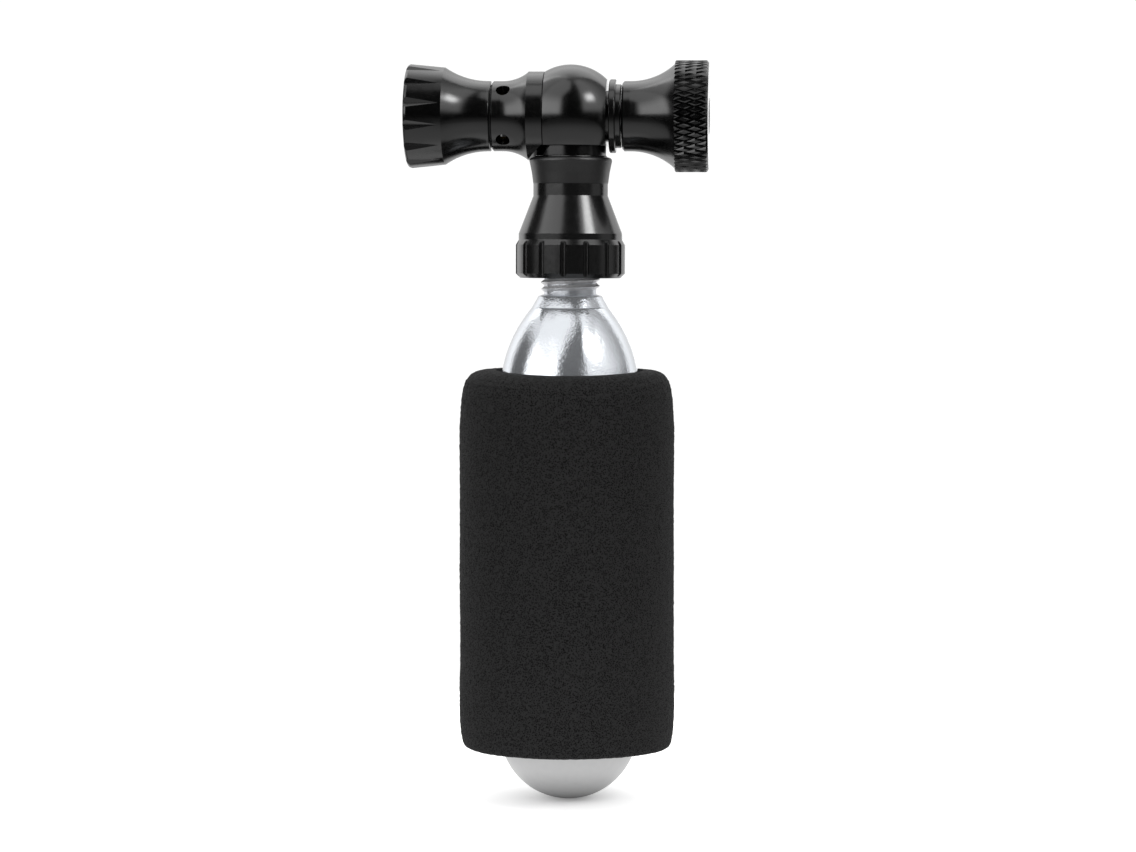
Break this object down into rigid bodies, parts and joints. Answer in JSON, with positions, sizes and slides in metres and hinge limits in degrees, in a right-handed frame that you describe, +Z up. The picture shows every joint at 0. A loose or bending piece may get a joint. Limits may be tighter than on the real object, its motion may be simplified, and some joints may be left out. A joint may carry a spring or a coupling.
{
  "type": "tire inflator",
  "caption": "Pocket bicycle tire inflator: a tee head with a screw-on valve chuck, a knurled control knob and a union collar, on a threaded gas cartridge in a foam sleeve.",
  "frame": {"origin": "lowest point of the cartridge's dome, on the cartridge's axis", "axes": "+Z up the cartridge toward the head; +X along the head toward the knob, -X toward the tyre chuck; -Y toward the front of the picture"},
  "size_m": [0.0474, 0.0338, 0.1168],
  "materials": {
    "black_anodised": "black anodised, satin gloss",
    "polished_steel": "bright plated, polished, satin at the dome",
    "steel": "turned",
    "brass": "turned",
    "seal_rubber": "moulded",
    "nylon": "turned",
    "foam": "black foam with a cut, matte surface"
  },
  "bodies": {
    "head": {"tee_body": "black_anodised", "valve_seat": "nylon", "valve_bonnet": "black_anodised", "spindle_o_rings": "seal_rubber", "gland_washer": "brass", "chuck_base": "black_anodised", "chuck_base_o_ring": "seal_rubber", "nozzle_tube": "brass", "valve_depressor": "steel", "swivel_washer": "nylon", "piercing_pin": "steel", "cartridge_washer": "seal_rubber", "collar_clip": "steel", "collar_o_ring": "seal_rubber"},
    "collar": {"union_collar": "black_anodised"},
    "cartridge": {"cartridge_shell": "polished_steel", "cartridge_seal_cap": "steel"},
    "sleeve": {"foam_sleeve": "foam"},
    "plunger": {"valve_plunger": "brass"},
    "knob": {"valve_spindle": "steel", "control_knob": "black_anodised", "knob_washer": "steel", "knob_screw": "steel"},
    "chuck": {"chuck_cap": "black_anodised", "valve_grommet": "seal_rubber"}
  },
  "joints": [
    {"name": "collar_turn", "type": "hinge", "parent": "head", "child": "collar", "pos_m": [0, 0, 0.0925], "axis": [0, 0, -1], "range_deg": [-2042, 1055]},
    {"name": "cartridge_travel", "type": "slide", "parent": "head", "child": "cartridge", "axis": [0, 0, 1], "range_m": [-0.006, 0.0031]},
    {"name": "sleeve_slide", "type": "slide", "parent": "cartridge", "child": "sleeve", "axis": [0, 0, 1], "range_m": [-0.068, 0.014]},
    {"name": "valve_travel", "type": "slide", "parent": "head", "child": "plunger", "axis": [1, 0, 0], "range_m": [0, 0.0012]},
    {"name": "knob_turn", "type": "hinge", "parent": "plunger", "child": "knob", "pos_m": [0.012, 0, 0.10806], "axis": [1, 0, 0], "range_deg": [0, 540]},
    {"name": "chuck_swivel", "type": "hinge", "parent": "head", "child": "chuck", "pos_m": [-0.019, 0, 0.10806], "axis": [-1, 0, 0], "continuous": true}
  ],
  "couplings": [
    {"joint": "collar_turn", "follows": "cartridge_travel", "rad_per_m": 5938.7},
    {"joint": "valve_travel", "follows": "knob_turn", "m_per_rad": 0.00012732}
  ]
}
